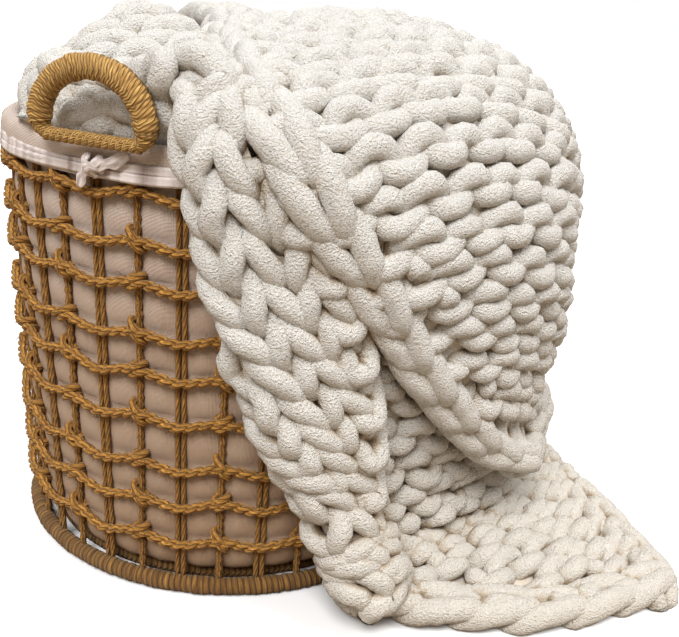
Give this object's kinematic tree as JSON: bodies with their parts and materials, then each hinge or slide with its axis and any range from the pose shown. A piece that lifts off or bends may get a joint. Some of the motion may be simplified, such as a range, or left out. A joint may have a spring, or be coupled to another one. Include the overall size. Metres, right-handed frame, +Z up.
{
  "type": "chunky knit blanket in a lined rope basket",
  "caption": "Thick, soft knitted blanket draped over the rim of a round rope basket with a cotton liner, one side rolled over and one end lying on the floor.",
  "frame": {"origin": "on the basket's axis, at the middle of its flat underside, on the surface it stands on", "axes": "+Z up; the front is towards -Y; +X points to the side where the blanket's end lies on the floor"},
  "size_m": [0.6341, 0.5374, 0.4961],
  "materials": {
    "blanket_yarn": "fuzzy off-white chenille yarn, about 20 mm thick, knitted",
    "jute_cord": "twisted golden-brown jute cord, hairy, matt",
    "liner_cotton": "plain-woven pinkish beige cotton with a small scattered ornament",
    "liner_ribbon": "soft folded strip of the liner's cotton",
    "hoop_wire": "painted wire, hidden in the liner's cuff"
  },
  "bodies": {
    "root": {"knit_blanket": "blanket_yarn", "basket_base": "jute_cord", "basket_liner": "liner_cotton", "rim_hoop": "hoop_wire", "liner_tie": "liner_ribbon", "liner_tie_knot": "liner_ribbon", "carry_handle": "jute_cord", "ring_cord_1": "jute_cord", "ring_cord_2": "jute_cord", "ring_cord_3": "jute_cord", "ring_cord_4": "jute_cord", "ring_cord_5": "jute_cord", "ring_cord_6": "jute_cord", "ring_cord_7": "jute_cord", "ring_cord_8": "jute_cord", "ring_cord_9": "jute_cord", "upright_01": "jute_cord", "upright_02": "jute_cord", "upright_03": "jute_cord", "upright_04": "jute_cord", "upright_05": "jute_cord", "upright_06": "jute_cord", "upright_07": "jute_cord", "upright_08": "jute_cord", "upright_09": "jute_cord", "upright_10": "jute_cord", "upright_11": "jute_cord", "upright_12": "jute_cord", "upright_13": "jute_cord", "upright_14": "jute_cord", "upright_15": "jute_cord", "upright_16": "jute_cord", "upright_17": "jute_cord", "upright_18": "jute_cord", "upright_19": "jute_cord", "upright_20": "jute_cord", "upright_21": "jute_cord", "upright_22": "jute_cord", "upright_23": "jute_cord", "upright_24": "jute_cord", "upright_25": "jute_cord", "upright_26": "jute_cord", "upright_27": "jute_cord", "upright_28": "jute_cord", "upright_29": "jute_cord", "upright_30": "jute_cord", "upright_31": "jute_cord", "upright_32": "jute_cord", "upright_33": "jute_cord", "upright_34": "jute_cord", "upright_35": "jute_cord", "upright_36": "jute_cord"}
  },
  "joints": []
}
